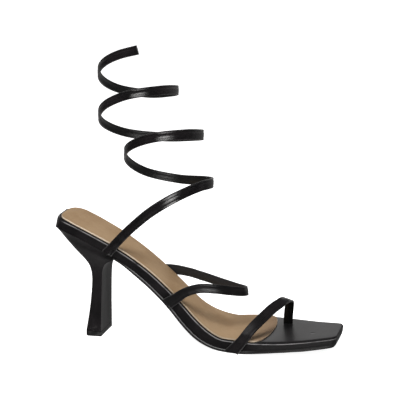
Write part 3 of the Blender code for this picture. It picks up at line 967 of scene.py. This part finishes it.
# A painted shade colour for the sock's front.
TAN_SHADED_FRONT, FRONT_SHADE_SHARE = colour(0.165, 0.108, 0.074), 0.6
FRONT_SHADE_RANGE = (0.030, 0.062)
# The cut edge's own paler colour, with a painted highlight that is brightest at the heel.
EDGE_HEEL = colour(0.48, 0.40, 0.31)
EDGE_WAIST = colour(0.31, 0.25, 0.185)
EDGE_FADE, EDGE_RANGE = (-0.070, -0.010), (0.1, 0.5)
# Painted shade colour under the cut edge.
UNDER_SHADE_COLOUR, UNDER_SHADE_RANGE = colour(0.02, 0.016, 0.012), (-0.95, -0.5)
SOCK_ROUGH, CLOUD_SWAY, SOCK_BUMP = 0.60, 0.20, (0.10, 0.0003)
sock_finish, sock_shader, sock_start = new_finish("tan_sock")
sock_place = object_place(sock_start)
sock_x = sock_place.axis("X")
sock_cloud = noise(sock_start, sock_place, CLOUD_SCALE)
sock_fine = noise(sock_start, sock_place, FINE_SCALE)
sock_grain = pores(sock_start, sock_place, GRAIN_SCALE)
sock_mark = attribute(sock_start, "cut_edge")
sock_tone = sock_cloud * CLOUD_SHARE + sock_fine * FINE_SHARE
sock_tan = sock_tone.step(*TAN_RANGE).blend(TAN_DEEP, TAN_LIGHT)
# Painted shade darkens the tan towards the front.
sock_tan = (sock_x.step(*FRONT_SHADE_RANGE) * FRONT_SHADE_SHARE).blend(sock_tan, TAN_SHADED_FRONT)
# The cut edge is paler, and a painted highlight on it is brightest at the heel.
cut_edge_and_highlight = sock_x.step(*EDGE_FADE).blend(EDGE_HEEL, EDGE_WAIST)
sock_tan = abs(sock_mark).step(*EDGE_RANGE).blend(sock_tan, cut_edge_and_highlight)
# Painted shade lies under the cut edge, where the mark is below zero.
plug(
    sock_shader,
    Base_Color=sock_mark.step(*UNDER_SHADE_RANGE).blend(UNDER_SHADE_COLOUR, sock_tan),
    Roughness=SOCK_ROUGH + sway(sock_cloud, CLOUD_SWAY),
    Normal=bump(sock_start, sock_grain + sock_fine, *SOCK_BUMP),
    Specular_IOR_Level=0.08,
)
dress(sock, "sock", sock_finish)

# %% [markdown]
# ## The outsole and the heel's tip
# The outsole is a thin black sheet. Its upper edge is trimmed and stands up beside the board, painted as
# a light line that fades at the toe: partly the trim's own paler colour, partly a painted highlight.
# Under the arch it is a little thicker, and its back end tucks in against the heel. Below, it has a fine
# moulded rib to grip the floor. The tip under the heel is the same hard rubber.

# %% Outsole
OUTSOLE_TRIMMED = (0.6, 1.0, 0.0)
TRIM_MARK = 0.5
WELT_RISE = 0.7
SHANK_DROP = 0.45
SHANK_START = 3.0
SHANK_BACK = -48.0
SHANK_LOOK = -0.2
OUTSOLE_BACK = -60.0
TUCK = (-1.1, 0.0, 0.65)
OUTSOLE_CORNER = 35
OUTSOLE_TOP_BANDS = ((0.5, 0.0),)
OUTSOLE_TREAD_BANDS = ((0.4, 0.0),)


def under_shank(vertex):
    """Whether a vertex is on the underside of the arch, clear of the heel and of the ball."""
    looks_down = vertex.normal.z < SHANK_LOOK
    return looks_down and vertex.co.z > SHANK_START * MM and vertex.co.x > SHANK_BACK * MM


outsole = quads_of("outsole", "outsole_edge")
# Marks where the trim's light line, partly a painted highlight, goes.
paint_rim(outsole, "trimmed", OUTSOLE_TRIMMED)
trimmed = bmesh.from_edit_mesh(outsole.data).verts.layers.float["trimmed"]
select_where(outsole.data, "VERT", lambda vertex: vertex[trimmed] > TRIM_MARK)
bpy.ops.transform.translate(value=(0, 0, WELT_RISE * MM))
select_where(outsole.data, "VERT", lambda vertex: vertex.co.x < OUTSOLE_BACK * MM)
bpy.ops.transform.translate(value=Vector(TUCK) * MM)
select_where(outsole.data, "VERT", under_shank)
bpy.ops.transform.translate(value=(0, 0, -SHANK_DROP * MM))
keep_corners(OUTSOLE_CORNER)
inset_bands(outsole, 1, OUTSOLE_TOP_BANDS)
inset_bands(outsole, -1, OUTSOLE_TREAD_BANDS)
round_off(outsole, levels=2)

# %% Rubber finish
RIB_SCALE = 900
RIBBED_SIDE = (-0.9, -0.6)
# The trim's light line: its own paler colour and a painted highlight.
TRIM_LINE, TRIM_HIGHLIGHT_COLOUR = (0.5, 0.9), colour(0.19, 0.19, 0.19)
TRIM_START, TRIM_END = (-0.056, -0.046), (0.030, 0.055)
TONE_SCALE, ROUGH_SCALE, RUBBER_RANGE = 120, 1500, (0.3, 0.7)
RUBBER_ROUGH, RUBBER_SWAY, FINE_LIFT, RUBBER_BUMP = 0.50, 0.2, 0.15, (0.3, 0.0003)
RUBBER_DEEP = colour(0.008, 0.008, 0.008)
RUBBER_WORN = colour(0.014, 0.013, 0.013)
rubber_finish, rubber_shader, rubber_start = new_finish("outsole_rubber")
rubber_place = object_place(rubber_start)
rubber_x = rubber_place.axis("X")
rubber_tone = noise(rubber_start, rubber_place, TONE_SCALE)
rubber_fine = noise(rubber_start, rubber_place, ROUGH_SCALE)
tread = 1 - rubber_start.node("ShaderNodeNewGeometry", output="Normal").axis("Z").step(*RIBBED_SIDE)
ribs = {"Vector": rubber_place, "Scale": RIB_SCALE, "Distortion": 0.0}
ribs = rubber_start.node("ShaderNodeTexWave", None, ribs)
# Painted highlight, with the trim's own paler colour: a light line along the upper edge, fading at the toe.
trim_highlight_line = attribute(rubber_start, "trimmed").step(*TRIM_LINE)
trim_highlight_line = trim_highlight_line * rubber_x.step(*TRIM_START) * (1 - rubber_x.step(*TRIM_END))
rubber_black = rubber_tone.step(*RUBBER_RANGE).blend(RUBBER_DEEP, RUBBER_WORN)
plug(
    rubber_shader,
    Base_Color=trim_highlight_line.blend(rubber_black, TRIM_HIGHLIGHT_COLOUR),
    Roughness=RUBBER_ROUGH + sway(rubber_tone, RUBBER_SWAY),
    Normal=bump(rubber_start, ribs * tread + rubber_fine * FINE_LIFT, *RUBBER_BUMP),
    Specular_IOR_Level=0.4,
)
dress(outsole, "outsole", rubber_finish)

# %% Heel tip
TIP_CORNER = 45
TIP_BEVEL = 0.3
BEVEL_SEGMENTS = 3
BEVEL_FROM = math.radians(45)


def soften(piece, width):
    """Bevels the sharp edges of a piece that has been rounded off."""
    rest()
    bpy.context.view_layer.objects.active = piece
    piece.select_set(True)
    edge = piece.modifiers.new("soften", "BEVEL")
    edge.width = width * MM
    edge.segments = BEVEL_SEGMENTS
    edge.limit_method = "ANGLE"
    edge.angle_limit = BEVEL_FROM
    bpy.ops.object.modifier_apply(modifier=edge.name)
    bpy.ops.object.shade_smooth_by_angle(angle=SMOOTH_ANGLE)


tip = quads_of("heel_tip", "heel_top_piece")
keep_corners(TIP_CORNER)
round_off(tip, levels=1)
soften(tip, TIP_BEVEL)

# %% Tip finish
TIP_TONE_SCALE, TIP_FINE_SCALE, TIP_RANGE = 300, 2200, (0.45, 0.75)
TIP_ROUGH, TIP_SWAY, TIP_BUMP = 0.48, 0.25, (0.15, 0.0003)
TIP_BLACK = colour(0.009, 0.009, 0.009)
TIP_WORN = colour(0.030, 0.029, 0.028)
tip_finish, tip_shader, tip_start = new_finish("tip_rubber")
tip_place = object_place(tip_start)
tip_tone = noise(tip_start, tip_place, TIP_TONE_SCALE)
plug(
    tip_shader,
    Base_Color=tip_tone.step(*TIP_RANGE).blend(TIP_BLACK, TIP_WORN),
    Roughness=TIP_ROUGH + sway(tip_tone, TIP_SWAY),
    Normal=bump(tip_start, noise(tip_start, tip_place, TIP_FINE_SCALE), *TIP_BUMP),
    Specular_IOR_Level=0.4,
)
dress(tip, "heel_tip", tip_finish)

# %% [markdown]
# ## The covered heel
# The heel is a hard core with leather glued round it. Its front is a flat face between two crisp edges.
# Subdividing would melt those edges, so they are creased first, and a small bevel rounds them at the end.
# The seat grows by a hair to meet the board's wall. Near the floor the edges are scuffed to a lighter
# grey.

# %% Heel
SEAT_GROWTH = (1.0098, 1.0214, 1.0)
SEAT_LIFT = 0.2
SEAT_FRONT = Vector((-56.8, 0.74, 70.0)) * MM
SEAT_LOOK, SEAT_HEIGHT = 0.6, 60.0
HEEL_CORNER = 45
HEEL_BEVEL = 0.45


def on_seat(face):
    """Whether a face of the heel carries the board."""
    return face.normal.z > SEAT_LOOK and face.calc_center_median().z > SEAT_HEIGHT * MM


heel = quads_of("heel", "heel_cover")
select_where(heel.data, "FACE", on_seat)
bpy.ops.transform.resize(value=SEAT_GROWTH, center_override=SEAT_FRONT)
bpy.ops.transform.translate(value=(0, 0, SEAT_LIFT * MM))
keep_corners(HEEL_CORNER)
round_off(heel, levels=2)
soften(heel, HEEL_BEVEL)

# %% Heel finish
SCUFF_HEIGHT = (0.004, 0.012)
SCUFF_SCALE, SCUFF_PATCHES = 700, (0.56, 0.74)
SCUFF_LIGHT, SCUFF_SHARE = colour(0.07, 0.068, 0.066), 0.6
PULLED, PULLED_SCALE = (1.0, 1.0, 0.12), 330
FAR_SIDE = (-0.014, 0.012)
HEEL_PORES, HEEL_STREAKS, HEEL_WAVES = (0.10, 0.0002), (0.06, 0.001), (0.03, 0.002)
HEEL_ROUGH, FAR_DULL, HEEL_SWAY, SCUFF_DULL = 0.36, 0.14, 0.16, 0.15
heel_finish, heel_shader, heel_start = new_finish("heel_leather")
heel_place = object_place(heel_start)
heel_hide = noise(heel_start, heel_place, HIDE_SCALE)
heel_pulled = heel_start.node("ShaderNodeMapping", None, {"Vector": heel_place, "Scale": PULLED})
heel_streak = noise(heel_start, heel_pulled, PULLED_SCALE)
heel_far = heel_place.axis("Y").step(*FAR_SIDE)
scuffed = noise(heel_start, heel_place, SCUFF_SCALE).step(*SCUFF_PATCHES)
scuffed = scuffed * (1 - heel_place.axis("Z").step(*SCUFF_HEIGHT))
heel_relief = bump(heel_start, pores(heel_start, heel_place, PORE_SCALE), *HEEL_PORES)
heel_relief = bump(heel_start, heel_streak, *HEEL_STREAKS, below=heel_relief)
plug(
    heel_shader,
    Base_Color=(scuffed * SCUFF_SHARE).blend(leather_black(heel_hide), SCUFF_LIGHT),
    Roughness=HEEL_ROUGH + heel_far * FAR_DULL + sway(heel_streak, HEEL_SWAY) + scuffed * SCUFF_DULL,
    Normal=bump(heel_start, heel_hide, *HEEL_WAVES, below=heel_relief),
    Specular_IOR_Level=0.45,
)
dress(heel, "heel", heel_finish)
